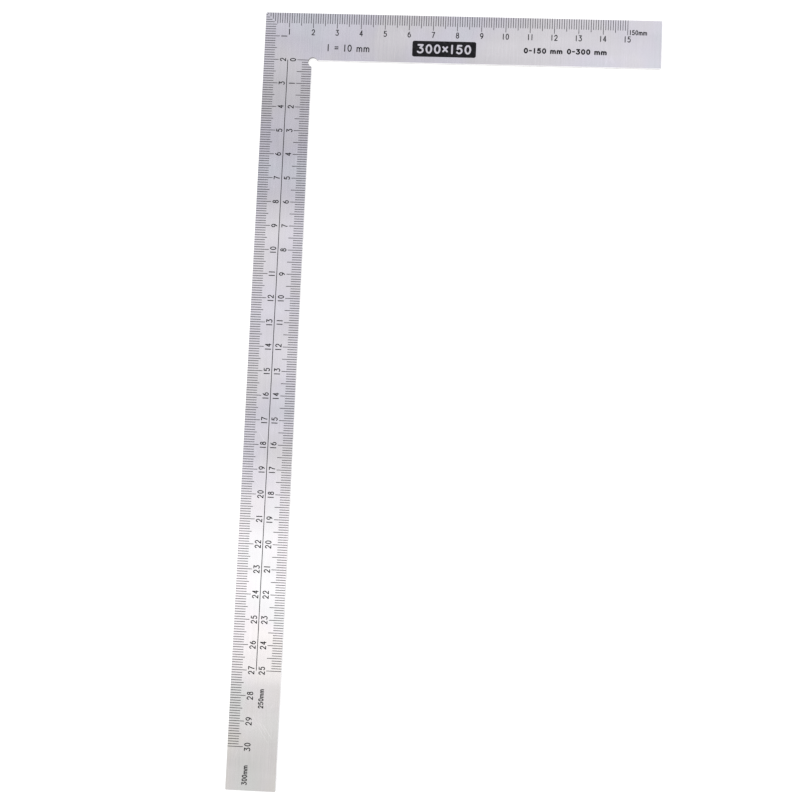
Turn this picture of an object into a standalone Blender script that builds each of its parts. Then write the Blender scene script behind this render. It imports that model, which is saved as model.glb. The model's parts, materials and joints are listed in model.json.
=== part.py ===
"""Steel square ruler: a flat L-shaped stainless blade with etched graduations.

The blade lies in the XY plane with its graduated face up. The outer corner (the heel), where
both outer scales have their zero, is at the origin, on the underside. The short arm runs along
+X and the long arm along -Y. Every graduation, the line between the two scales of the long arm
and the size panel are etched into the top face. The line and the panel hold black enamel.
"""

import math

import bmesh
import bpy
from mathutils import Matrix, Vector

MM = 0.001

# Blade
LONG_ARM = 317 * MM
SHORT_ARM = 164 * MM
ARM_WIDTH = 20 * MM
THICKNESS = 1.2 * MM
CORNER_RADIUS = 0.4 * MM
EDGE_BREAK = 0.12 * MM

# Relief bore that clears the inner corner
RELIEF_RADIUS = 2.0 * MM
RELIEF_RIGHT = 0.4 * MM  # its centre, past the long arm's inner edge
RELIEF_DOWN = 0.7 * MM  # its centre, past the short arm's inner edge
RELIEF_BLEND = 0.4 * MM  # round where the bore runs out into the inner edges

# Flat sides that stand in for an arc
ROUND_SIDES = 4
BORE_SIDES = 16

# Joining and cleaning meshes
WELD_DISTANCE = 0.001 * MM
FLAT_ANGLE = 1  # degrees; flatter edges are dissolved
SHARP_ANGLE = 60  # degrees; sharper edges are broken

# Etching
ETCH_DEPTH = 0.1 * MM
ENAMEL_GAP = 0.01 * MM  # to the floor and walls of an etched recess
ENAMEL_SINK = 0.02 * MM  # how far the enamel stays under the face
MARK_WIDTH = 0.25 * MM
MARK_OVERRUN = 0.5 * MM  # how far a groove's cutter runs past the edge
MITRE_GAP = 0.3 * MM  # between the marks of the two outer scales along the corner's diagonal

# Lengths of the 5 mm and 10 mm marks on each scale, and the last mark of each
LONG_SCALE_END = 300
LONG_HALF_MARK = 5.2 * MM
LONG_WHOLE_MARK = 6.2 * MM
SHORT_SCALE_END = 150
SHORT_HALF_MARK = 5.4 * MM
SHORT_WHOLE_MARK = 6.3 * MM
INNER_SCALE_END = 250
INNER_MARK = 6.0 * MM
HALF_STEP = 5
WHOLE_STEP = 10

# Line between the long arm's two scales, from the inner zero to the last inner mark
LINE_WIDTH = 0.3 * MM
LINE_X = 10.0 * MM

# Size panel on the short arm
PANEL_LEFT = 61.6 * MM
PANEL_RIGHT = 88.0 * MM
PANEL_TOP = -10.7 * MM
PANEL_BOTTOM = -17.4 * MM
PANEL_RADIUS = 0.8 * MM

STEEL = (0.60, 0.59, 0.62, 1.0)
ENAMEL = (0.015, 0.015, 0.018, 1.0)


def clear_scene():
    for obj in list(bpy.data.objects):
        bpy.data.objects.remove(obj, do_unlink=True)


def new_collection(name):
    collection = bpy.data.collections.new(name)
    bpy.context.scene.collection.children.link(collection)
    return collection


def new_material(name, colour, roughness, metallic):
    material = bpy.data.materials.new(name)
    material.use_nodes = True
    shader = material.node_tree.nodes["Principled BSDF"]
    shader.inputs["Base Color"].default_value = colour
    shader.inputs["Roughness"].default_value = roughness
    shader.inputs["Metallic"].default_value = metallic
    material.diffuse_color = colour
    return material


def arc(centre, radius, start, end, steps=ROUND_SIDES):
    """Points on a circle from one angle to another, both in degrees and both included."""
    x, y = centre
    turns = [math.radians(start + (end - start) * step / steps) for step in range(steps + 1)]
    return [Vector((x + radius * math.cos(turn), y + radius * math.sin(turn))) for turn in turns]


def relief_outline():
    """The bore at the inner corner and its blends, from the long arm's inner edge to the short arm's."""
    bore = Vector((ARM_WIDTH + RELIEF_RIGHT, -ARM_WIDTH - RELIEF_DOWN))
    reach = RELIEF_RADIUS + RELIEF_BLEND
    below = -math.sqrt(reach**2 - (RELIEF_RIGHT + RELIEF_BLEND) ** 2)
    beside = math.sqrt(reach**2 - (RELIEF_DOWN + RELIEF_BLEND) ** 2)
    # Each blend's centre, and the direction to it from the bore's centre
    lower = Vector((ARM_WIDTH - RELIEF_BLEND, bore.y + below))
    upper = Vector((bore.x + beside, RELIEF_BLEND - ARM_WIDTH))
    to_lower = 360 + math.degrees(math.atan2(below, lower.x - bore.x))
    to_upper = math.degrees(math.atan2(upper.y - bore.y, beside))
    return [
        *arc(lower, RELIEF_BLEND, 0, to_lower - 180),
        *arc(bore, RELIEF_RADIUS, to_lower, to_upper, BORE_SIDES)[1:-1],
        *arc(upper, RELIEF_BLEND, to_upper + 180, 270),
    ]


def blade_outline():
    """The L, anticlockwise seen from above, starting at the heel."""
    r = CORNER_RADIUS
    return [
        *arc((r, -r), r, 90, 180),
        *arc((r, r - LONG_ARM), r, 180, 270),
        *arc((ARM_WIDTH - r, r - LONG_ARM), r, 270, 360),
        *relief_outline(),
        *arc((SHORT_ARM - r, r - ARM_WIDTH), r, 270, 360),
        *arc((SHORT_ARM - r, -r), r, 0, 90),
    ]


def panel_outline(margin):
    """The size panel's rounded rectangle, drawn in by a margin on every side."""
    r = PANEL_RADIUS
    right, top = PANEL_RIGHT - margin - r, PANEL_TOP - margin - r
    left, bottom = PANEL_LEFT + margin + r, PANEL_BOTTOM + margin + r
    return [
        *arc((right, top), r, 0, 90),
        *arc((left, top), r, 90, 180),
        *arc((left, bottom), r, 180, 270),
        *arc((right, bottom), r, 270, 360),
    ]


def flat_solid(name, outline, bottom, top, collection):
    """A flat plate with this outline, between two heights, as a mesh with one face on each side."""
    data = bpy.data.curves.new(name + "_outline", "CURVE")
    data.dimensions = "2D"
    data.fill_mode = "BOTH"
    data.extrude = (top - bottom) / 2
    spline = data.splines.new("POLY")
    spline.points.add(len(outline) - 1)
    for point, place in zip(spline.points, outline):
        point.co = (place.x, place.y, 0, 1)
    spline.use_cyclic_u = True
    drawn = bpy.data.objects.new(name + "_outline", data)
    drawn.location.z = (top + bottom) / 2
    collection.objects.link(drawn)
    bpy.context.view_layer.update()

    evaluated = drawn.evaluated_get(bpy.context.evaluated_depsgraph_get())
    mesh = bpy.data.meshes.new_from_object(evaluated)
    mesh.name = name
    solid = bpy.data.objects.new(name, mesh)
    solid.matrix_world = drawn.matrix_world
    collection.objects.link(solid)
    bpy.data.objects.remove(drawn, do_unlink=True)

    shape = bmesh.new()
    shape.from_mesh(mesh)
    bmesh.ops.remove_doubles(shape, verts=shape.verts, dist=WELD_DISTANCE)
    bmesh.ops.dissolve_limit(
        shape,
        angle_limit=math.radians(FLAT_ANGLE),
        verts=shape.verts,
        edges=shape.edges,
    )
    bmesh.ops.recalc_face_normals(shape, faces=shape.faces)
    shape.to_mesh(mesh)
    shape.free()
    return solid


def add_box(shape, low, high):
    """A box between two corners, added to a bmesh."""
    middle = (Vector(low) + Vector(high)) / 2
    sides = Vector(high) - Vector(low)
    place = Matrix.Translation(middle) @ Matrix.Diagonal((*sides, 1))
    bmesh.ops.create_cube(shape, size=1, matrix=place)


def box_solid(name, boxes, collection):
    """One mesh object made of boxes, each given by its low and high corner."""
    shape = bmesh.new()
    for low, high in boxes:
        add_box(shape, low, high)
    mesh = bpy.data.meshes.new(name)
    shape.to_mesh(mesh)
    shape.free()
    solid = bpy.data.objects.new(name, mesh)
    collection.objects.link(solid)
    return solid


def mark_length(step, half, whole):
    return whole if step % WHOLE_STEP == 0 else half


def across_arm(y, left, right):
    """The cutter of a groove that runs along X at this height on the drawing."""
    return (
        (left, y - MARK_WIDTH / 2, THICKNESS - ETCH_DEPTH),
        (right, y + MARK_WIDTH / 2, THICKNESS + ETCH_DEPTH),
    )


def long_scale_grooves():
    """5 mm and 10 mm marks on the long arm's outer edge, shortened at the corner's mitre."""
    for step in range(HALF_STEP, LONG_SCALE_END + 1, HALF_STEP):
        length = min(mark_length(step, LONG_HALF_MARK, LONG_WHOLE_MARK), step * MM - MITRE_GAP)
        yield across_arm(-step * MM, -MARK_OVERRUN, length)


def inner_scale_grooves():
    """5 mm and 10 mm marks on the long arm's inner edge, whose zero is level with the inner corner."""
    for step in range(0, INNER_SCALE_END + 1, HALF_STEP):
        y = -ARM_WIDTH - step * MM
        yield across_arm(y, ARM_WIDTH - INNER_MARK, ARM_WIDTH + MARK_OVERRUN)


def short_scale_grooves():
    """5 mm and 10 mm marks on the short arm's outer edge, shortened at the corner's mitre."""
    for step in range(HALF_STEP, SHORT_SCALE_END + 1, HALF_STEP):
        length = min(mark_length(step, SHORT_HALF_MARK, SHORT_WHOLE_MARK), step * MM - MITRE_GAP)
        x = step * MM
        yield (
            (x - MARK_WIDTH / 2, -length, THICKNESS - ETCH_DEPTH),
            (x + MARK_WIDTH / 2, MARK_OVERRUN, THICKNESS + ETCH_DEPTH),
        )


def centre_line(margin, bottom, top):
    """The box of the line between the scales, drawn in by a margin on every side."""
    return (
        (LINE_X - LINE_WIDTH / 2 + margin, -ARM_WIDTH - INNER_SCALE_END * MM + margin, bottom),
        (LINE_X + LINE_WIDTH / 2 - margin, -ARM_WIDTH - margin, top),
    )


def cut(target, cutter):
    cutter.hide_render = True
    cutter.display_type = "WIRE"
    modifier = target.modifiers.new("cut_" + cutter.name, "BOOLEAN")
    modifier.operation = "DIFFERENCE"
    modifier.solver = "EXACT"
    modifier.object = cutter


def make_blade(collection, cutters, steel):
    blade = flat_solid("steel_blade", blade_outline(), 0, THICKNESS, collection)
    blade.data.materials.append(steel)
    edges = blade.modifiers.new("edge_break", "BEVEL")
    edges.width = EDGE_BREAK
    edges.segments = 1
    edges.limit_method = "ANGLE"
    edges.angle_limit = math.radians(SHARP_ANGLE)

    grooves = [*long_scale_grooves(), *short_scale_grooves(), *inner_scale_grooves()]
    floor, above = THICKNESS - ETCH_DEPTH, THICKNESS + ETCH_DEPTH
    cut(blade, box_solid("graduation_cutter", grooves, cutters))
    cut(blade, box_solid("centre_line_cutter", [centre_line(0, floor, above)], cutters))
    cut(blade, flat_solid("size_panel_cutter", panel_outline(0), floor, above, cutters))


def make_enamel(collection, black):
    """The two enamel fills, each lying in its own recess."""
    bottom = THICKNESS - ETCH_DEPTH + ENAMEL_GAP
    top = THICKNESS - ENAMEL_SINK
    line = box_solid("centre_line_enamel", [centre_line(ENAMEL_GAP, bottom, top)], collection)
    panel = flat_solid("size_panel_enamel", panel_outline(ENAMEL_GAP), bottom, top, collection)
    for fill in (line, panel):
        fill.data.materials.append(black)


def main():
    clear_scene()
    parts = new_collection("steel_square_ruler")
    cutters = new_collection("cutters")
    steel = new_material("brushed_stainless", STEEL, roughness=0.35, metallic=1.0)
    black = new_material("black_enamel", ENAMEL, roughness=0.5, metallic=0.0)
    make_blade(parts, cutters, steel)
    make_enamel(parts, black)


main()
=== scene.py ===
"""The looks of the steel square ruler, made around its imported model.

The drawing lies in the XY plane, in millimetres: the outer corner is at the origin, the short
arm runs along +X and the long arm along -Y. Every mark, numeral and note on it becomes a recess
in the blade, 0.1 mm deep, and a body of black enamel that lies in the recess.
"""

import json
import math
from collections import namedtuple

import bmesh
import bpy
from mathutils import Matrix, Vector
from mathutils.geometry import delaunay_2d_cdt


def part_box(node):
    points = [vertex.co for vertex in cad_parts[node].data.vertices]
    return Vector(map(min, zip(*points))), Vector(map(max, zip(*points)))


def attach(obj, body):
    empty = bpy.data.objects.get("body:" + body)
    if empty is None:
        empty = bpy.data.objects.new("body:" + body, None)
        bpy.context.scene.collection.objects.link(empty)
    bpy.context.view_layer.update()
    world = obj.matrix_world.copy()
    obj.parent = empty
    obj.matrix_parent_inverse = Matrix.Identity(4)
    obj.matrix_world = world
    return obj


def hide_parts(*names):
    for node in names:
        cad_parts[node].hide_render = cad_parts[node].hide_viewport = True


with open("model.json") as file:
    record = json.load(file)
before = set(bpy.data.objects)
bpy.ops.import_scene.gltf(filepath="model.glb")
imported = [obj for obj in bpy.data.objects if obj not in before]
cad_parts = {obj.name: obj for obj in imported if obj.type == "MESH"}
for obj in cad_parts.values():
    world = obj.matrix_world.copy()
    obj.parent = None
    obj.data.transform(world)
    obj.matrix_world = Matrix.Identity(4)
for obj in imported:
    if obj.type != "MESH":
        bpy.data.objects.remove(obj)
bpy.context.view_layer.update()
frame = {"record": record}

MM = 0.001

# The frame, in millimetres
mounts = {mount["name"]: Vector(mount["pos_m"]) / MM for mount in frame["record"]["mounts"]}
blade_low, blade_high = [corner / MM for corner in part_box("steel_blade")]
line_low, line_high = [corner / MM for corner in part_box("centre_line_enamel")]
panel_low, panel_high = [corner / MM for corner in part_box("size_panel_enamel")]

FACE = blade_high.z
ARM_WIDTH = mounts["long_arm_inner_edge"].x
FILL_BOTTOM = panel_low.z
FILL_TOP = panel_high.z
GAP = 0.01  # between the enamel and the floor and walls of its recess
ETCH_FLOOR = FILL_BOTTOM - GAP

# Blade
CORNER_RADIUS = 0.4
EDGE_BREAK = 0.06
EDGE_SEGMENTS = 3
RELIEF_RADIUS = 2.0
RELIEF_RIGHT = 0.4  # the bore's centre, past the long arm's inner edge
RELIEF_DOWN = 0.7  # the bore's centre, past the short arm's inner edge
RELIEF_BLEND = 0.4
BORE_MARGIN = 0.1  # how far past the bore's radius its wall still has the bore's full painted shade
ARC_STEP = 9  # degrees between the points of an arc
SAME_LEVEL = 3  # decimals of a millimetre to which an edge's two ends have to agree in height

# Marks: how far each kind reaches in from its edge
Reach = namedtuple("Reach", "fine half whole")
LONG_REACH = Reach(4.4, 5.2, 6.2)
SHORT_REACH = Reach(4.4, 5.4, 6.3)
INNER_REACH = Reach(4.0, 6.0, 6.0)
LONG_SCALE_END = 300
SHORT_SCALE_END = 150
INNER_SCALE_END = 250
HALF_STEP = 5
WHOLE_STEP = 10
MARK_WIDTH = 0.25
MITRE_GAP = 0.3  # how far each outer scale stays short of the corner's diagonal
OVERRUN = 0.5  # how far a recess is cut past the blade's edge
FILL_INSET = 0.03  # how far the enamel stays inside the blade's edge

# Lettering: drawn sizes, stroke included
Style = namedtuple("Style", "height width stroke gap")
NUMERAL = Style(2.6, 1.42, 0.38, 0.42)
RANGE_END = Style(2.2, 1.22, 0.38, 0.16)
SCALE_KEY = Style(3.1, 1.80, 0.44, 0.50)
PANEL_SIZE = Style(4.0, 2.75, 0.72, 0.72)
BOLD_NOTE = Style(2.4, 1.78, 0.60, 0.30)
SIDE_BEARING = 0.22  # extra room beside a 1, as a share of a digit's width
SPACE = 0.55  # a blank's breadth, as a share of a digit's width
BOW_STEP = 20  # degrees between the points of a glyph's bow
GENTLE_BEND = 40  # degrees; a stroke that turns more than this at a point gets a round joint
CAP_SIDES = 16
MITRE_LIMIT = 0.5  # least cosine that a mitred point is stretched by
SAME_POINT = 1e-6
JOIN_TOLERANCE = 1e-5  # points of outlines nearer than this become one
FILLED_HULL = 0  # the kind of triangulation that also fills the hollows between outlines

# Lettering: where the middle of each text lies
LONG_NUMERALS_X = 7.98
INNER_NUMERALS_X = 12.2
SHORT_NUMERALS_Y = -8.1
SHORT_NUMERALS_SHIFT = 0.1  # to the right of their marks
SHORT_END_PLACE = (154.4, -5.2)
INNER_END_PLACE = (12.45, -281.0)
LONG_END_PLACE = (7.45, -311.0)
SCALE_KEY_PLACE = (35.1, -14.55)
SHORT_RANGE_PLACE = (115.6, -13.8)
LONG_RANGE_PLACE = (133.5, -13.8)
PANEL_RADIUS = 0.8

# Steel: colours
STEEL_COOL = (0.512, 0.519, 0.563, 1)
STEEL_PURPLE = (0.529, 0.514, 0.568, 1)
STEEL_WARM = (0.537, 0.524, 0.547, 1)
# Walls: ground steel, paled further as a painted highlight so they show as white as the bright
# table they mirror
GROUND_EDGE_SHEEN = (0.88, 0.88, 0.89, 1)
FOOT_SHADE = (0.42, 0.41, 0.42, 1)  # painted shadow where the wall meets the table
BORE_SHADE = (0.30, 0.29, 0.31, 1)  # painted shade in the relief bore, darker than the other walls

# Steel: steps a metre along X, Y and Z of each pattern
GRAIN = (9000, 90, 9000)
COARSE_GRAIN = (1600, 25, 1600)
CLOUDS = (28, 22, 28)
BANDS = (14, 70, 14)
BLOTCHES = (110, 60, 110)
WAVES = (30, 18, 30)
SCRATCHES = (5200, 70, 5200)
SCRATCHED_PATCHES = (160, 60, 160)
NICKS = (900, 900, 900)
# The noise that makes the painted shade on the walls uneven
WALL_SHADE_NOISE = (300, 300, 2500)
USUAL_NOISE = (0.3, 0.7)  # most of a noise's values lie between these

# Steel: what the patterns do
SCRATCH_TURNS = (34, -21)  # degrees
BAND_SHADE = 0.055  # shades are lighter and darker by these shares
BLOTCH_SHADE = 0.025
COARSE_GRAIN_SHADE = 0.02
GRAIN_SHADE = 0.045
SCRATCH_SHINE = 0.12
EDGE_SHINE = 0.08
ROUGHNESS = (0.20, 0.27)
BLOTCH_ROUGHNESS = 0.03
POLISHED_ROUGHNESS = -0.06  # added where the steel is scratched or worn
WAVE_DEPTH = 0.15 * MM
GRAIN_DEPTH = 0.002 * MM
SCRATCH_DEPTH = 0.003 * MM
POLISH_REACH = (0.03, 0.24)  # least and most, in from the edge
POLISH_FADE = (-0.06, 0.02)  # where the polish fades out, past its reach
GRAIN_SLOPE = 0.5  # the Z of a normal, from which the grain follows the long arm
WALL_SLOPE = (0.3, 0.6)  # the Z of a normal, where the wall's look gives way to the face's
# How high the painted shadow at the wall's foot reaches, in millimetres
FOOT_SHADE_HEIGHT = 0.35
FOOT_RAGGEDNESS = 0.25  # how much higher the painted shadow at the foot climbs in places
# How unevenly the painted shade in the bore is laid
BORE_SHADE_MOTTLING = 0.2

# Enamel
ENAMEL_BLACK = (0.006, 0.006, 0.008, 1)
ENAMEL_WORN = (0.022, 0.021, 0.024, 1)
ENAMEL_WEAR = (700, 700, 700)
ENAMEL_SPECKLE = (6000, 6000, 6000)
ENAMEL_ROUGHNESS = (0.42, 0.62)
ENAMEL_SPECULAR = 0.1
SPECKLE_DEPTH = 0.004 * MM

# Camera
CAMERA_PLACE = Vector((98.1, -184.6, 394.6 + FACE)) * MM
CAMERA_TURN = (3.783, 2.046, 2.273)  # degrees
CAMERA_LENS = 44.15
CAMERA_SHIFT = -0.0625
CAMERA_SENSOR = 36
CAMERA_CLIP = 0.01  # metres

# Floor and lights
SKY = (0.925, 0.920, 0.950)
HORIZON = (1.1, 1.1, 1.1)
HORIZON_REACH = 0.35  # sine of the angle above the horizon from which the sky has its own colour
FLOOR_RADIUS = 20  # metres
FLOOR_SIDES = 96
FLOOR_ROUGHNESS = 0.9
FLOOR_SPECULAR = 0.1
FLOOR_COLOUR = (0.62, 0.62, 0.62, 1)
FLOOR_GLOW = 0.5  # with its colour, just enough for the overexposed table of the photograph
SOFTBOX_HEIGHT = 0.8  # metres
SOFTBOX_STEP = 0.02  # lights in one plane would hide each other, so each hangs a little higher
# Each one's name, the places where the face mirrors its opposite corners, radiance and colour
SOFTBOXES = [
    ("rear_box", (-200, -32), (320, 90), 0.10, (1, 1, 0.96)),
    ("side_box", (101, -60), (320, 90), 0.37, (1, 1, 0.94)),
    ("overhead_box", (-200, -150), (260, -79), 0.43, (1, 0.99, 0.90)),
    ("middle_box", (-200, -199), (260, -150), 0.32, (1, 1, 0.92)),
    ("bright_box", (-200, -276), (260, -199), 1.04, (1, 0.97, 0.82)),
    ("front_box", (-200, -360), (260, -276), 0.29, (1, 0.98, 0.43)),
]


# ---------------------------------------------------------------- flat shapes

Flat = namedtuple("Flat", "points faces")


def arc(centre, radius, start, end):
    """Points on a circle from one angle to another, both in degrees and both included."""
    steps = max(2, math.ceil(abs(end - start) / ARC_STEP))
    turns = [math.radians(start + (end - start) * step / steps) for step in range(steps + 1)]
    middle = Vector(centre)
    return [middle + radius * Vector((math.cos(turn), math.sin(turn))) for turn in turns]


def bow(middle, reach, start, end):
    """Points on an ellipse from one angle to another, in degrees, as a stroke of a glyph."""
    steps = max(3, math.ceil(abs(end - start) / BOW_STEP))
    turns = [math.radians(start + (end - start) * step / steps) for step in range(steps + 1)]
    return [
        (middle[0] + reach[0] * math.cos(turn), middle[1] + reach[1] * math.sin(turn))
        for turn in turns
    ]


def ring(middle, reach):
    """A closed stroke round an ellipse."""
    return bow(middle, reach, 0, 360)


def rectangle(left, bottom, right, top):
    corners = [(left, bottom), (right, bottom), (right, top), (left, top)]
    return Flat([Vector(corner) for corner in corners], [(0, 1, 2, 3)])


def union(outlines, holes=()):
    """The area inside any of the outlines and outside every hole, as triangles."""
    points = []
    loops = []
    for outline in [*outlines, *holes]:
        loops.append(list(range(len(points), len(points) + len(outline))))
        points += outline
    found, _, faces, _, _, sources = delaunay_2d_cdt(
        points, [], loops, FILLED_HULL, JOIN_TOLERANCE, True
    )
    solid = range(len(outlines))
    kept = [
        face
        for face, source in zip(faces, sources)
        if source and all(loop in solid for loop in source)
    ]
    return Flat(found, kept)


def placed(flat, place, turned=False):
    """A copy at a place; turned, it reads upwards, from -Y to +Y."""
    if turned:
        points = [Vector((place[0] - point.y, place[1] + point.x)) for point in flat.points]
    else:
        points = [Vector((place[0] + point.x, place[1] + point.y)) for point in flat.points]
    return Flat(points, flat.faces)


def side_of(path, at, closed):
    """How far a stroke's side lies from a point of its path, mitred, for a stroke 2 mm wide."""
    last = len(path) - 1
    before = path[at - 1] if at > 0 else (path[last - 1] if closed else None)
    after = path[at + 1] if at < last else (path[1] if closed else None)
    directions = []
    if before is not None:
        directions.append((path[at] - before).normalized())
    if after is not None:
        directions.append((after - path[at]).normalized())
    along = sum(directions, Vector((0, 0))).normalized()
    across = Vector((-along.y, along.x))
    return across / max(along.dot(directions[0]), MITRE_LIMIT)


def strip(path, width, closed):
    """Four-sided outlines that follow a gently bending path."""
    sides = [side_of(path, at, closed) * width / 2 for at in range(len(path))]
    for at in range(len(path) - 1):
        here, there = path[at], path[at + 1]
        yield [here - sides[at], there - sides[at + 1], there + sides[at + 1], here + sides[at]]


def cap(centre, width):
    turns = [2 * math.pi * side / CAP_SIDES for side in range(CAP_SIDES)]
    return [centre + width / 2 * Vector((math.cos(turn), math.sin(turn))) for turn in turns]


def split_at_bends(path):
    """The runs of a path between its sharp bends."""
    runs = [[path[0]]]
    for at in range(1, len(path) - 1):
        runs[-1].append(path[at])
        bend = (path[at] - path[at - 1]).angle(path[at + 1] - path[at])
        if bend > math.radians(GENTLE_BEND):
            runs.append([path[at]])
    runs[-1].append(path[-1])
    return runs


def stroke_outlines(path, width):
    """Outlines that together cover a pen stroke with round ends and joints."""
    if (path[0] - path[-1]).length < SAME_POINT:
        return list(strip(path, width, closed=True))
    outlines = []
    for run in split_at_bends(path):
        outlines += strip(run, width, closed=False)
        outlines += [cap(run[0], width), cap(run[-1], width)]
    return outlines


# ---------------------------------------------------------------- lettering

# Each character's breadth, as a share of a digit's, and its strokes in a unit square
FONT = {
    "0": (1.0, [ring((0.5, 0.5), (0.5, 0.5))]),
    "1": (0.0, [[(0.0, 1.0), (0.0, 0.0)]]),
    "2": (1.0, [bow((0.5, 0.70), (0.48, 0.30), 170, -38) + [(0.0, 0.0), (1.0, 0.0)]]),
    "3": (
        1.0,
        [[(0.05, 1.0), (0.95, 1.0), (0.42, 0.62)] + bow((0.42, 0.31), (0.56, 0.31), 80, -145)],
    ),
    "4": (1.0, [[(0.74, 0.0), (0.74, 1.0), (0.0, 0.28), (1.0, 0.28)]]),
    "5": (
        1.0,
        [[(0.90, 1.0), (0.18, 1.0), (0.10, 0.56)] + bow((0.45, 0.33), (0.53, 0.33), 125, -145)],
    ),
    "6": (1.0, [ring((0.5, 0.31), (0.5, 0.31)), bow((0.95, 0.33), (0.95, 0.67), 178, 108)]),
    "7": (1.0, [[(0.0, 1.0), (1.0, 1.0)] + bow((1.25, 0.0), (0.9, 0.75), 140, 180)]),
    "8": (1.0, [ring((0.5, 0.77), (0.40, 0.23)), ring((0.5, 0.27), (0.5, 0.27))]),
    "9": (1.0, [ring((0.5, 0.69), (0.5, 0.31)), bow((0.05, 0.67), (0.95, 0.67), -2, -72)]),
    "m": (
        1.35,
        [
            [(0.0, 0.64), (0.0, 0.0)],
            bow((0.25, 0.40), (0.25, 0.24), 180, 0) + [(0.5, 0.0)],
            bow((0.75, 0.40), (0.25, 0.24), 180, 0) + [(1.0, 0.0)],
        ],
    ),
    "-": (0.75, [[(0.0, 0.5), (1.0, 0.5)]]),
    "=": (0.95, [[(0.0, 0.36), (1.0, 0.36)], [(0.0, 0.66), (1.0, 0.66)]]),
    "x": (0.85, [[(0.0, 0.22), (1.0, 0.78)], [(0.0, 0.78), (1.0, 0.22)]]),
}

drawn_glyphs = {}


def glyph_breadth(character, style):
    """How broad a character is, its stroke included."""
    if character == " ":
        return SPACE * style.width
    return max(FONT[character][0] * style.width, style.stroke)


def glyph(character, style, grow):
    """One character with its left edge and its foot at the origin; grow widens the strokes."""
    key = (character, style, grow)
    if key not in drawn_glyphs:
        across = glyph_breadth(character, style) - style.stroke
        tall = style.height - style.stroke
        inset = Vector((style.stroke, style.stroke)) / 2
        outlines = []
        for path in FONT[character][1]:
            points = [inset + Vector((x * across, y * tall)) for x, y in path]
            outlines += stroke_outlines(points, style.stroke + grow)
        drawn_glyphs[key] = outlines
    return drawn_glyphs[key]


def side_bearing(character, style):
    """The extra room on either side of a character, which only a 1 has."""
    return SIDE_BEARING * style.width if character == "1" else 0.0


def lettering(text, style, grow):
    """The text's characters as lists of outlines with their places, and its whole length."""
    at = 0.0
    characters = []
    for character in text:
        bearing = side_bearing(character, style)
        at += bearing
        if character != " ":
            characters.append((at, glyph(character, style, grow)))
        at += glyph_breadth(character, style) + bearing + style.gap
    start = side_bearing(text[0], style)
    end = at - style.gap - side_bearing(text[-1], style)
    return [(place - start, outlines) for place, outlines in characters], end - start


unions = {}


def written(text, style, middle, grow, turned=False):
    """Flat shapes of a text whose middle, along it and across it, is at a point."""
    characters, length = lettering(text, style, grow)
    shapes = []
    for at, outlines in characters:
        key = id(outlines)
        if key not in unions:
            unions[key] = union(outlines)
        along = at - length / 2
        down = style.height / 2
        shift = (down, along) if turned else (along, -down)
        place = (middle[0] + shift[0], middle[1] + shift[1])
        shapes.append(placed(unions[key], place, turned))
    return shapes


# ---------------------------------------------------------------- the drawing

BORE = Vector((ARM_WIDTH + RELIEF_RIGHT, -ARM_WIDTH - RELIEF_DOWN))


def relief_outline():
    """The bore and its blends, from the long arm's inner edge to the short arm's."""
    reach = RELIEF_RADIUS + RELIEF_BLEND
    below = -math.sqrt(reach**2 - (RELIEF_RIGHT + RELIEF_BLEND) ** 2)
    beside = math.sqrt(reach**2 - (RELIEF_DOWN + RELIEF_BLEND) ** 2)
    # Each blend's centre, and the direction to it from the bore's centre
    lower = Vector((ARM_WIDTH - RELIEF_BLEND, BORE.y + below))
    upper = Vector((BORE.x + beside, RELIEF_BLEND - ARM_WIDTH))
    to_lower = 360 + math.degrees(math.atan2(below, lower.x - BORE.x))
    to_upper = math.degrees(math.atan2(upper.y - BORE.y, beside))
    return [
        *arc(lower, RELIEF_BLEND, 0, to_lower - 180),
        *arc(BORE, RELIEF_RADIUS, to_lower, to_upper)[1:-1],
        *arc(upper, RELIEF_BLEND, to_upper + 180, 270),
    ]


def blade_outline():
    """The L, anticlockwise seen from above, starting at the outer corner."""
    r = CORNER_RADIUS
    end_x, end_y = blade_high.x, blade_low.y
    return [
        *arc((r, -r), r, 90, 180),
        *arc((r, end_y + r), r, 180, 270),
        *arc((ARM_WIDTH - r, end_y + r), r, 270, 360),
        *relief_outline(),
        *arc((end_x - r, r - ARM_WIDTH), r, 270, 360),
        *arc((end_x - r, -r), r, 0, 90),
    ]


def inner_edge(y):
    """Where the steel ends at this height, on the long arm's inner side or at the bore."""
    rise = abs(y - BORE.y)
    if rise >= RELIEF_RADIUS:
        return ARM_WIDTH
    return min(ARM_WIDTH, BORE.x - math.sqrt(RELIEF_RADIUS**2 - rise**2))


def reach_of(step, reach):
    if step % WHOLE_STEP == 0:
        return reach.whole
    if step % HALF_STEP == 0:
        return reach.half
    return reach.fine


def long_scale_marks(grow, edge):
    """Marks on the long arm's outer edge, shortened at the corner's mitre."""
    for step in range(1, LONG_SCALE_END + 1):
        length = min(reach_of(step, LONG_REACH), step - MITRE_GAP)
        half = (MARK_WIDTH + grow) / 2
        yield rectangle(-edge, -step - half, length + grow / 2, -step + half)


def short_scale_marks(grow, edge):
    """Marks on the short arm's outer edge, shortened at the corner's mitre."""
    for step in range(1, SHORT_SCALE_END + 1):
        length = min(reach_of(step, SHORT_REACH), step - MITRE_GAP)
        half = (MARK_WIDTH + grow) / 2
        yield rectangle(step - half, -length - grow / 2, step + half, edge)


def inner_scale_marks(grow, edge):
    """Marks on the long arm's inner edge, whose zero is level with the inner corner."""
    for step in range(INNER_SCALE_END + 1):
        y = -ARM_WIDTH - step
        half = (MARK_WIDTH + grow) / 2
        left = ARM_WIDTH - reach_of(step, INNER_REACH) - grow / 2
        right = ARM_WIDTH + edge if edge > 0 else inner_edge(y) + edge
        yield rectangle(left, y - half, right, y + half)


def long_numerals(grow):
    for number in range(1, LONG_SCALE_END // WHOLE_STEP + 1):
        middle = (LONG_NUMERALS_X, -number * WHOLE_STEP)
        yield from written(str(number), NUMERAL, middle, grow, turned=True)


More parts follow.
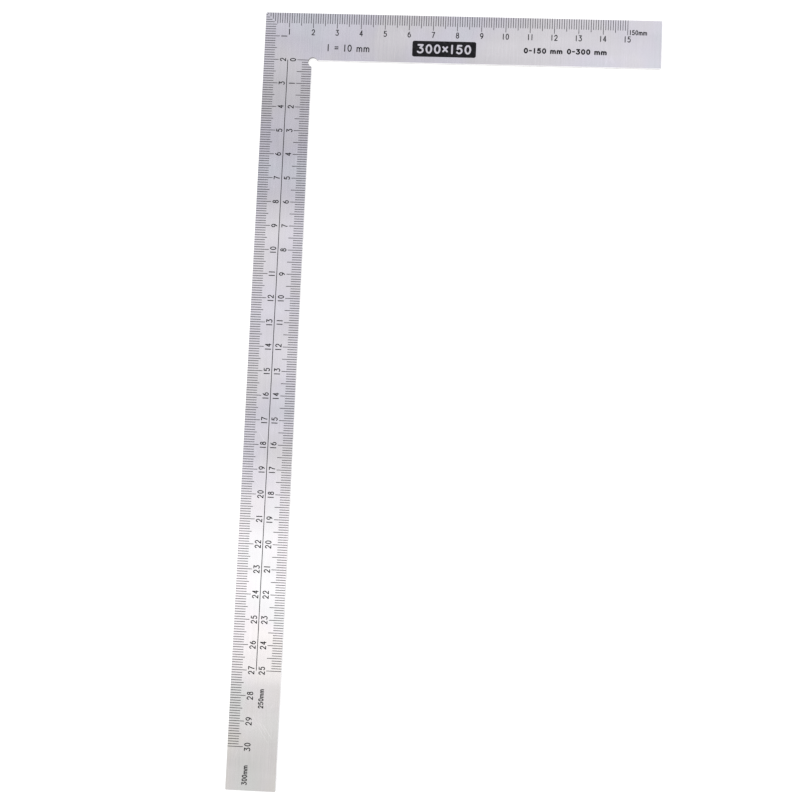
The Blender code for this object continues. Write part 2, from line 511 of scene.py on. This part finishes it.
def inner_numerals(grow):
    for number in range(INNER_SCALE_END // WHOLE_STEP + 1):
        middle = (INNER_NUMERALS_X, -ARM_WIDTH - number * WHOLE_STEP)
        yield from written(str(number), NUMERAL, middle, grow, turned=True)


def short_numerals(grow):
    for number in range(1, SHORT_SCALE_END // WHOLE_STEP + 1):
        middle = (number * WHOLE_STEP + SHORT_NUMERALS_SHIFT, SHORT_NUMERALS_Y)
        yield from written(str(number), NUMERAL, middle, grow)


def range_ends(grow):
    """The length of each scale, beside its last mark."""
    yield from written(f"{SHORT_SCALE_END}mm", RANGE_END, SHORT_END_PLACE, grow)
    yield from written(f"{INNER_SCALE_END}mm", RANGE_END, INNER_END_PLACE, grow, turned=True)
    yield from written(f"{LONG_SCALE_END}mm", RANGE_END, LONG_END_PLACE, grow, turned=True)


def scale_key(grow):
    """What one step between numerals measures."""
    yield from written(f"1 = {WHOLE_STEP} mm", SCALE_KEY, SCALE_KEY_PLACE, grow)


def range_note(grow):
    """The range of each arm's outer scale, in bold."""
    yield from written(f"0-{SHORT_SCALE_END} mm", BOLD_NOTE, SHORT_RANGE_PLACE, grow)
    yield from written(f"0-{LONG_SCALE_END} mm", BOLD_NOTE, LONG_RANGE_PLACE, grow)


def centre_line(grow):
    """The line between the long arm's scales, drawn round the enamel that the frame has in it."""
    wider = GAP + grow / 2
    return rectangle(
        line_low.x - wider, line_low.y - wider, line_high.x + wider, line_high.y + wider
    )


def size_panel(grow):
    """The panel round its bare figures. A negative grow draws the panel in and the figures out."""
    text = f"{LONG_SCALE_END}x{SHORT_SCALE_END}"
    r = PANEL_RADIUS
    wider = GAP + grow / 2
    left, bottom = panel_low.x - wider + r, panel_low.y - wider + r
    right, top = panel_high.x + wider - r, panel_high.y + wider - r
    outline = [
        *arc((right, top), r, 0, 90),
        *arc((left, top), r, 90, 180),
        *arc((left, bottom), r, 180, 270),
        *arc((right, bottom), r, 270, 360),
    ]
    middle = (panel_low + panel_high).xy / 2
    characters, length = lettering(text, PANEL_SIZE, -grow)
    figures = []
    for at, outlines in characters:
        shift = Vector((middle.x + at - length / 2, middle.y - PANEL_SIZE.height / 2))
        figures += [[shift + point for point in part] for part in outlines]
    return union([outline], holes=figures)


# ---------------------------------------------------------------- meshes


def new_object(name, shape):
    mesh = bpy.data.meshes.new(name)
    shape.to_mesh(mesh)
    shape.free()
    piece = bpy.data.objects.new(name, mesh)
    bpy.context.scene.collection.objects.link(piece)
    return piece


def prisms(flats, bottom, top):
    """A bmesh, in metres, with a closed body between two heights for each flat shape."""
    shape = bmesh.new()
    for flat in flats:
        verts = [
            shape.verts.new((point.x * MM, point.y * MM, bottom * MM)) for point in flat.points
        ]
        for face in flat.faces:
            shape.faces.new([verts[corner] for corner in face])
    bmesh.ops.delete(shape, geom=[v for v in shape.verts if not v.link_faces], context="VERTS")
    made = bmesh.ops.extrude_face_region(shape, geom=shape.faces[:])
    raised = [part for part in made["geom"] if isinstance(part, bmesh.types.BMVert)]
    bmesh.ops.translate(shape, verts=raised, vec=(0, 0, (top - bottom) * MM))
    bmesh.ops.recalc_face_normals(shape, faces=shape.faces[:])
    return shape


def blank_blade():
    """The plate with softly broken edges, before etching."""
    outline = blade_outline()
    shape = prisms([Flat(outline, [tuple(range(len(outline)))])], blade_low.z, FACE)
    rim = [
        edge
        for edge in shape.edges
        if len({round(v.co.z / MM, SAME_LEVEL) for v in edge.verts}) == 1
    ]
    bmesh.ops.bevel(
        shape,
        geom=rim,
        offset=EDGE_BREAK * MM,
        offset_type="OFFSET",
        segments=EDGE_SEGMENTS,
        profile=0.5,
        affect="EDGES",
    )
    return new_object("steel_blade_etched", shape)


def etch(blade, recesses):
    """Cuts every recess into the blade's face and applies the cut."""
    cutter = new_object("etching", prisms(recesses, ETCH_FLOOR, FACE + OVERRUN))
    modifier = blade.modifiers.new("etching", "BOOLEAN")
    modifier.operation = "DIFFERENCE"
    modifier.solver = "MANIFOLD"
    modifier.object = cutter
    bpy.context.view_layer.update()
    evaluated = blade.evaluated_get(bpy.context.evaluated_depsgraph_get())
    etched = bpy.data.meshes.new_from_object(evaluated)
    blade.modifiers.clear()
    blade.data = etched
    bpy.data.objects.remove(cutter, do_unlink=True)


def grain_axes(normal):
    """Across and along the grain, which follows the long arm on faces and the edge on walls."""
    if abs(normal.z) >= GRAIN_SLOPE:
        return Vector((1, 0, 0)), Vector((0, 1, 0))
    if abs(normal.x) > abs(normal.y):
        return Vector((0, 0, 1)), Vector((0, 1, 0))
    return Vector((0, 0, 1)), Vector((1, 0, 0))


def lay_grain(piece):
    """A UV map whose U runs across the grain and whose V runs along it."""
    layer = piece.data.uv_layers.new(name="grain")
    for face in piece.data.polygons:
        across, along = grain_axes(face.normal)
        for loop in face.loop_indices:
            place = piece.data.vertices[piece.data.loops[loop].vertex_index].co
            layer.data[loop].uv = (place.dot(across) / MM, place.dot(along) / MM)


# ---------------------------------------------------------------- materials


class Graph:
    """A material's nodes, with short ways to add and join them."""

    def __init__(self, name):
        self.material = bpy.data.materials.new(name)
        self.material.use_nodes = True
        self.tree = self.material.node_tree
        self.shader = self.tree.nodes["Principled BSDF"]

    def add(self, kind, **settings):
        node = self.tree.nodes.new(kind)
        for name, value in settings.items():
            setattr(node, name, value)
        return node

    def join(self, output, target):
        self.tree.links.new(output, target)

    def stretched(self, scale, turn=0.0, seed=0.0):
        """The piece's own coordinates, scaled to so many steps a metre along each axis."""
        coordinates = self.add("ShaderNodeTexCoord")
        mapping = self.add("ShaderNodeMapping", vector_type="TEXTURE")
        mapping.inputs["Scale"].default_value = [1 / steps for steps in scale]
        mapping.inputs["Rotation"].default_value = (0, 0, turn)
        mapping.inputs["Location"].default_value = (seed, seed, seed)
        self.join(coordinates.outputs["Object"], mapping.inputs["Vector"])
        return mapping.outputs["Vector"]

    def axis(self, name):
        """A place's X, Y or Z on the drawing, in millimetres."""
        coordinates = self.add("ShaderNodeTexCoord")
        axes = self.add("ShaderNodeSeparateXYZ")
        self.join(coordinates.outputs["Object"], axes.inputs["Vector"])
        return self.maths("DIVIDE", axes.outputs[name], MM)

    def noise(self, vector, detail=3.0, roughness=0.5, distortion=0.0):
        node = self.add("ShaderNodeTexNoise")
        node.inputs["Scale"].default_value = 1.0
        node.inputs["Detail"].default_value = detail
        node.inputs["Roughness"].default_value = roughness
        node.inputs["Distortion"].default_value = distortion
        self.join(vector, node.inputs["Vector"])
        return node.outputs["Fac"]

    def spread(self, value, low, high, to_low, to_high):
        """Maps a range of values to another, clamped at both ends."""
        node = self.add("ShaderNodeMapRange")
        names = ("From Min", "From Max", "To Min", "To Max")
        for name, number in zip(names, (low, high, to_low, to_high)):
            node.inputs[name].default_value = number
        self.join(value, node.inputs["Value"])
        return node.outputs["Result"]

    def following(self, noise, to_low, to_high):
        """Maps the usual values of a noise to a range."""
        return self.spread(noise, *USUAL_NOISE, to_low, to_high)

    def shaded(self, noise, share):
        """A factor that follows a noise, to a share below and above 1."""
        return self.following(noise, 1 - share, 1 + share)

    def put(self, value, socket):
        """Gives a socket a constant or another node's output."""
        if isinstance(value, bpy.types.NodeSocket):
            self.join(value, socket)
        else:
            socket.default_value = value

    def maths(self, operation, first, second=0.0):
        node = self.add("ShaderNodeMath", operation=operation)
        for socket, value in zip(node.inputs, (first, second)):
            self.put(value, socket)
        return node.outputs["Value"]

    def product(self, *factors):
        total = factors[0]
        for factor in factors[1:]:
            total = self.maths("MULTIPLY", total, factor)
        return total

    def colours(self, value, *stops):
        """A colour ramp through (position, colour) stops."""
        node = self.add("ShaderNodeValToRGB")
        ramp = node.color_ramp
        while len(ramp.elements) < len(stops):
            ramp.elements.new(0.5)
        for element, (position, colour) in zip(ramp.elements, stops):
            element.position = position
            element.color = colour
        self.join(value, node.inputs["Fac"])
        return node.outputs["Color"]

    def mixed(self, share, first, second, blend="MIX"):
        """Mixes two colours by a share."""
        node = self.add("ShaderNodeMix", data_type="RGBA", blend_type=blend)
        sockets = [socket for socket in node.inputs if socket.enabled]
        for socket, value in zip(sockets, (share, first, second)):
            self.put(value, socket)
        return next(socket for socket in node.outputs if socket.enabled)

    def bump(self, height, distance, strength=1.0, under=None):
        node = self.add("ShaderNodeBump")
        node.inputs["Strength"].default_value = strength
        node.inputs["Distance"].default_value = distance
        self.join(height, node.inputs["Height"])
        if under is not None:
            self.join(under, node.inputs["Normal"])
        return node.outputs["Normal"]


def edge_distance(graph):
    """How far a place is from the nearest edge of the L, in millimetres."""
    x = graph.axis("X")
    y = graph.axis("Y")
    outer = graph.maths("MINIMUM", x, graph.maths("MULTIPLY", y, -1.0))
    within_long_arm = graph.maths("SUBTRACT", ARM_WIDTH, x)
    within_short_arm = graph.maths("ADD", y, ARM_WIDTH)
    inner = graph.maths("MAXIMUM", within_long_arm, within_short_arm)
    short_end = graph.maths("SUBTRACT", blade_high.x, x)
    long_end = graph.maths("SUBTRACT", y, blade_low.y)
    ends = graph.maths("MINIMUM", short_end, long_end)
    return graph.maths("MINIMUM", graph.maths("MINIMUM", outer, inner), ends)


def bored(graph):
    """1 on the wall of the relief bore and its blends, where its painted shade goes, and 0
    elsewhere.
    """
    across = graph.maths("SUBTRACT", graph.axis("X"), BORE.x)
    along = graph.maths("SUBTRACT", graph.axis("Y"), BORE.y)
    squares = [graph.maths("POWER", side, 2.0) for side in (across, along)]
    away = graph.maths("SQRT", graph.maths("ADD", *squares))
    full, none = RELIEF_RADIUS + BORE_MARGIN, RELIEF_RADIUS + RELIEF_BLEND
    return graph.spread(away, full, none, 1.0, 0.0)


def scratches(graph, turn, seed):
    """Sparse hairline scratches that all run one way: 1 in a scratch and 0 elsewhere."""
    turn = math.radians(turn)
    lines = graph.noise(graph.stretched(SCRATCHES, turn, seed), detail=1.0)
    where = graph.noise(graph.stretched(SCRATCHED_PATCHES, turn, seed), detail=2.0)
    hair = graph.spread(lines, 0.70, 0.74, 0.0, 1.0)
    return graph.product(hair, graph.spread(where, 0.50, 0.62, 0.0, 1.0))


def worn_rim(graph):
    """1 where handling has polished the broken edges, unevenly, and 0 elsewhere."""
    nicks = graph.noise(graph.stretched(NICKS), detail=3.0, roughness=0.6)
    reach = graph.spread(nicks, 0.35, 0.70, *POLISH_REACH)
    inwards = graph.maths("SUBTRACT", edge_distance(graph), reach)
    return graph.spread(inwards, *POLISH_FADE, 1.0, 0.0)


def on_wall(graph):
    """1 on the blade's side walls and 0 on its faces."""
    surface = graph.add("ShaderNodeNewGeometry")
    facing = graph.add("ShaderNodeSeparateXYZ")
    graph.join(surface.outputs["True Normal"], facing.inputs["Vector"])
    return graph.spread(graph.maths("ABSOLUTE", facing.outputs["Z"]), *WALL_SLOPE, 1.0, 0.0)


def wall_colour(graph):
    """Ground steel with a painted highlight, painted shadow at its foot, painted shade in the
    bore.
    """
    # Painted shadow at the wall's foot, where it meets the table, with a ragged top
    shade_noise = graph.noise(graph.stretched(WALL_SHADE_NOISE), detail=3.0)
    height = graph.maths(
        "SUBTRACT", graph.axis("Z"), graph.following(shade_noise, 0.0, FOOT_RAGGEDNESS)
    )
    above_foot = graph.spread(height, 0.0, FOOT_SHADE_HEIGHT, 0.0, 1.0)
    # Painted highlight on the wall, over the painted shadow at its foot
    sheen_over_foot_shade = graph.mixed(above_foot, FOOT_SHADE, GROUND_EDGE_SHEEN)
    # Painted shade in the relief bore, made uneven
    mottling = graph.shaded(shade_noise, BORE_SHADE_MOTTLING)
    shaded_bore = graph.mixed(1.0, BORE_SHADE, mottling, blend="MULTIPLY")
    return graph.mixed(bored(graph), sheen_over_foot_shade, shaded_bore)


def brushed_steel():
    graph = Graph("brushed_stainless_steel")
    shader = graph.shader
    shader.inputs["Metallic"].default_value = 1.0
    shader.inputs["Anisotropic"].default_value = 0.9

    grain = graph.noise(graph.stretched(GRAIN), detail=4.0, roughness=0.6)
    coarse_grain = graph.noise(graph.stretched(COARSE_GRAIN), detail=2.0)
    clouds = graph.noise(graph.stretched(CLOUDS), detail=2.0, distortion=0.6)
    bands = graph.noise(graph.stretched(BANDS, seed=4.0), detail=2.0)
    blotches = graph.noise(graph.stretched(BLOTCHES), detail=3.0)
    waves = graph.noise(graph.stretched(WAVES), detail=0.0)
    one_way = scratches(graph, SCRATCH_TURNS[0], 1.0)
    other_way = scratches(graph, SCRATCH_TURNS[1], 7.0)
    scratched = graph.maths("MAXIMUM", one_way, other_way)
    worn = worn_rim(graph)

    tint = graph.colours(clouds, (0.36, STEEL_COOL), (0.50, STEEL_PURPLE), (0.64, STEEL_WARM))
    shade = graph.product(
        graph.shaded(bands, BAND_SHADE),
        graph.shaded(blotches, BLOTCH_SHADE),
        graph.shaded(coarse_grain, COARSE_GRAIN_SHADE),
        graph.shaded(grain, GRAIN_SHADE),
        graph.spread(scratched, 0.0, 1.0, 1.0, 1 + SCRATCH_SHINE),
        graph.spread(worn, 0.0, 1.0, 1.0, 1 + EDGE_SHINE),
    )
    toned = graph.mixed(1.0, tint, shade, blend="MULTIPLY")
    colour = graph.mixed(on_wall(graph), toned, wall_colour(graph))
    graph.join(colour, shader.inputs["Base Color"])

    brushed = graph.following(grain, *ROUGHNESS)
    uneven = graph.following(blotches, -BLOTCH_ROUGHNESS, BLOTCH_ROUGHNESS)
    polished = graph.maths("MAXIMUM", worn, scratched)
    polish = graph.spread(polished, 0.0, 1.0, 0.0, POLISHED_ROUGHNESS)
    roughness = graph.maths("ADD", graph.maths("ADD", brushed, uneven), polish)
    graph.join(roughness, shader.inputs["Roughness"])

    tangent = graph.add("ShaderNodeTangent", direction_type="UV_MAP", uv_map="grain")
    graph.join(tangent.outputs["Tangent"], shader.inputs["Tangent"])
    sheet = graph.bump(waves, WAVE_DEPTH)
    lines = graph.bump(grain, GRAIN_DEPTH, under=sheet)
    cuts = graph.bump(graph.maths("MULTIPLY", scratched, -1.0), SCRATCH_DEPTH, under=lines)
    graph.join(cuts, shader.inputs["Normal"])
    return graph.material


def black_enamel():
    graph = Graph("black_enamel")
    shader = graph.shader
    shader.inputs["Specular IOR Level"].default_value = ENAMEL_SPECULAR
    wear = graph.noise(graph.stretched(ENAMEL_WEAR), detail=4.0, roughness=0.6)
    speckle = graph.noise(graph.stretched(ENAMEL_SPECKLE), detail=2.0)
    colour = graph.colours(wear, (0.45, ENAMEL_BLACK), (0.75, ENAMEL_WORN))
    graph.join(colour, shader.inputs["Base Color"])
    graph.join(graph.following(speckle, *ENAMEL_ROUGHNESS), shader.inputs["Roughness"])
    graph.join(graph.bump(speckle, SPECKLE_DEPTH), shader.inputs["Normal"])
    return graph.material


def pale_floor():
    graph = Graph("pale_floor")
    inputs = graph.shader.inputs
    inputs["Base Color"].default_value = FLOOR_COLOUR
    inputs["Roughness"].default_value = FLOOR_ROUGHNESS
    inputs["Specular IOR Level"].default_value = FLOOR_SPECULAR
    inputs["Emission Color"].default_value = (1, 1, 1, 1)
    inputs["Emission Strength"].default_value = FLOOR_GLOW
    return graph.material


# ---------------------------------------------------------------- the pieces

steel = brushed_steel()
enamel = black_enamel()

SHRINK = -2 * GAP  # makes the enamel that much narrower than its recess


def add_blade():
    """The steel, with all its recesses, as one piece."""
    recesses = [
        *long_scale_marks(0, OVERRUN),
        *short_scale_marks(0, OVERRUN),
        *inner_scale_marks(0, OVERRUN),
        *long_numerals(0),
        *inner_numerals(0),
        *short_numerals(0),
        *range_ends(0),
        *scale_key(0),
        *range_note(0),
        centre_line(0),
        size_panel(0),
    ]
    blade = blank_blade()
    etch(blade, recesses)
    lay_grain(blade)
    blade.data.materials.clear()
    blade.data.materials.append(steel)
    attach(blade, "root")
    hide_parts("steel_blade")


def add_fill(name, flats, *stands_for):
    """Enamel in the recesses of these shapes, as one piece."""
    piece = new_object(name, prisms(flats, FILL_BOTTOM, FILL_TOP))
    piece.data.materials.append(enamel)
    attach(piece, "root")
    if stands_for:
        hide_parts(*stands_for)


add_blade()
add_fill("long_scale_marks", long_scale_marks(SHRINK, -FILL_INSET))
add_fill("short_scale_marks", short_scale_marks(SHRINK, -FILL_INSET))
add_fill("inner_scale_marks", inner_scale_marks(SHRINK, -FILL_INSET))
add_fill("long_scale_numerals", long_numerals(SHRINK))
add_fill("inner_scale_numerals", inner_numerals(SHRINK))
add_fill("short_scale_numerals", short_numerals(SHRINK))
add_fill("range_end_lettering", range_ends(SHRINK))
add_fill("scale_key_lettering", scale_key(SHRINK))
add_fill("range_note_lettering", range_note(SHRINK))
add_fill("centre_line_fill", [centre_line(SHRINK)], "centre_line_enamel")
add_fill("size_panel_fill", [size_panel(SHRINK)], "size_panel_enamel")


# ---------------------------------------------------------------- floor, lights and camera


def add_floor():
    shape = bmesh.new()
    bmesh.ops.create_circle(shape, cap_ends=True, segments=FLOOR_SIDES, radius=FLOOR_RADIUS)
    floor = new_object("floor", shape)
    floor.data.materials.append(pale_floor())


def mirrored(x, y, height):
    """Where the camera's ray to a place on the face, mirrored there, is this high above it."""
    place = Vector((x * MM, y * MM, FACE * MM))
    away = place - CAMERA_PLACE
    return place + Vector((away.x, away.y, -away.z)) * (height / -away.z)


def add_softbox(name, row, low, high, radiance, colour):
    """A panel facing down, which the camera sees mirrored in the face between two places on it."""
    height = SOFTBOX_HEIGHT + row * SOFTBOX_STEP
    corner, other = mirrored(*low, height), mirrored(*high, height)
    light = bpy.data.lights.new(name, "AREA")
    light.shape = "RECTANGLE"
    light.size = abs(other.x - corner.x)
    light.size_y = abs(other.y - corner.y)
    light.energy = radiance * math.pi * light.size * light.size_y
    light.color = colour
    lamp = bpy.data.objects.new(name, light)
    lamp.location = (corner + other) / 2
    lamp.visible_camera = False
    bpy.context.scene.collection.objects.link(lamp)


def add_sky():
    """Even light from above that turns white towards the horizon, like the floor."""
    world = bpy.data.worlds.new("studio")
    world.use_nodes = True
    tree = world.node_tree
    background = tree.nodes["Background"]
    direction = tree.nodes.new("ShaderNodeTexCoord")
    axes = tree.nodes.new("ShaderNodeSeparateXYZ")
    ramp = tree.nodes.new("ShaderNodeValToRGB")
    ramp.color_ramp.elements[0].color = (*HORIZON, 1)
    ramp.color_ramp.elements[1].color = (*SKY, 1)
    ramp.color_ramp.elements[1].position = HORIZON_REACH
    tree.links.new(direction.outputs["Generated"], axes.inputs["Vector"])
    tree.links.new(axes.outputs["Z"], ramp.inputs["Fac"])
    tree.links.new(ramp.outputs["Color"], background.inputs["Color"])
    bpy.context.scene.world = world


def add_camera():
    data = bpy.data.cameras.new("camera")
    data.sensor_width = CAMERA_SENSOR
    data.lens = CAMERA_LENS
    data.shift_x = CAMERA_SHIFT
    data.clip_start = CAMERA_CLIP
    camera = bpy.data.objects.new("camera", data)
    camera.location = CAMERA_PLACE
    camera.rotation_euler = [math.radians(turn) for turn in CAMERA_TURN]
    bpy.context.scene.collection.objects.link(camera)
    bpy.context.scene.camera = camera


add_floor()
add_sky()
for row, (name, low, high, radiance, colour) in enumerate(SOFTBOXES):
    add_softbox(name, row, low, high, radiance, colour)
add_camera()
bpy.context.scene.view_settings.view_transform = "Standard"
